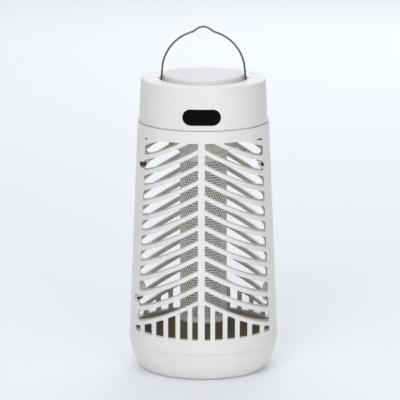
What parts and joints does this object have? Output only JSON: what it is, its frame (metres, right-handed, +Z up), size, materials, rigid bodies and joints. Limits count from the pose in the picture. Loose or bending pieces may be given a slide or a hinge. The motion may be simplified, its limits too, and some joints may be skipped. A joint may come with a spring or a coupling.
{
  "type": "electric bug zapper",
  "caption": "Tapered slatted tower lantern around a wire-mesh insect grid, with a capped top, press-top switch, wire bail and twist-off tray.",
  "frame": {"origin": "on the ground at the middle of the foot ring", "axes": "+Z up the tower, -Y out of the front window, +X to the right seen from the front"},
  "size_m": [0.119, 0.119, 0.2766],
  "materials": {
    "body_plastic": "pearl white, soft satin gloss",
    "button_plastic": "fine matt white",
    "grey_plastic": "plain light warm grey moulding",
    "black_lens": "polished black",
    "black_plastic": "potting and switch black",
    "bail_wire": "drawn steel wire",
    "spring_steel": "bright spring steel",
    "mesh_steel": "stainless grid",
    "screw_brass": "brass-coloured zinc passivated",
    "circuit_board": "green solder mask",
    "cell_wrap": "blue heat-shrink sleeve",
    "lamp_diffuser": "frosted tube",
    "lamp_board": "white-coated bar",
    "rubber": "black rubber"
  },
  "bodies": {
    "tower": {"front_grille": "body_plastic", "rear_grille": "body_plastic", "cap_shell": "body_plastic", "indicator_window": "black_lens", "indicator_board": "circuit_board", "control_board": "circuit_board", "charge_board": "circuit_board", "tact_switch": "black_plastic", "hv_module": "black_plastic", "usb_socket": "spring_steel", "battery_cell_1": "cell_wrap", "battery_cell_2": "cell_wrap", "battery_bracket": "grey_plastic", "upper_holder": "grey_plastic", "upper_insulator": "grey_plastic", "lower_insulator": "grey_plastic", "outer_mesh": "mesh_steel", "inner_mesh": "mesh_steel", "lamp_tube": "lamp_diffuser", "led_bar": "lamp_board", "end_screw": "screw_brass", "body_screw_1": "screw_brass", "body_screw_2": "screw_brass", "body_screw_3": "screw_brass", "body_screw_4": "screw_brass", "cap_screw_1": "screw_brass", "cap_screw_2": "screw_brass", "cap_screw_3": "screw_brass", "cap_screw_4": "screw_brass", "button_spring": "spring_steel"},
    "tray": {"base_tray": "body_plastic", "foot_ring": "rubber"},
    "button": {"top_button": "button_plastic", "button_clip": "spring_steel"},
    "bail": {"wire_bail": "bail_wire"}
  },
  "joints": [
    {"name": "bail_swing", "type": "hinge", "parent": "tower", "child": "bail", "pos_m": [0, 0, 0.233], "axis": [1, 0, 0], "range_deg": [-76, 76]},
    {"name": "button_press", "type": "slide", "parent": "tower", "child": "button", "axis": [0, 0, -1], "range_m": [0, 0.0012], "stiffness_N_per_m": 900, "springref_m": -0.001, "deforming": ["button_spring"]},
    {"name": "tray_twist", "type": "hinge", "parent": "tower", "child": "tray", "pos_m": [0, 0, 0.0233], "axis": [0, 0, 1], "range_deg": [0, 20]}
  ]
}
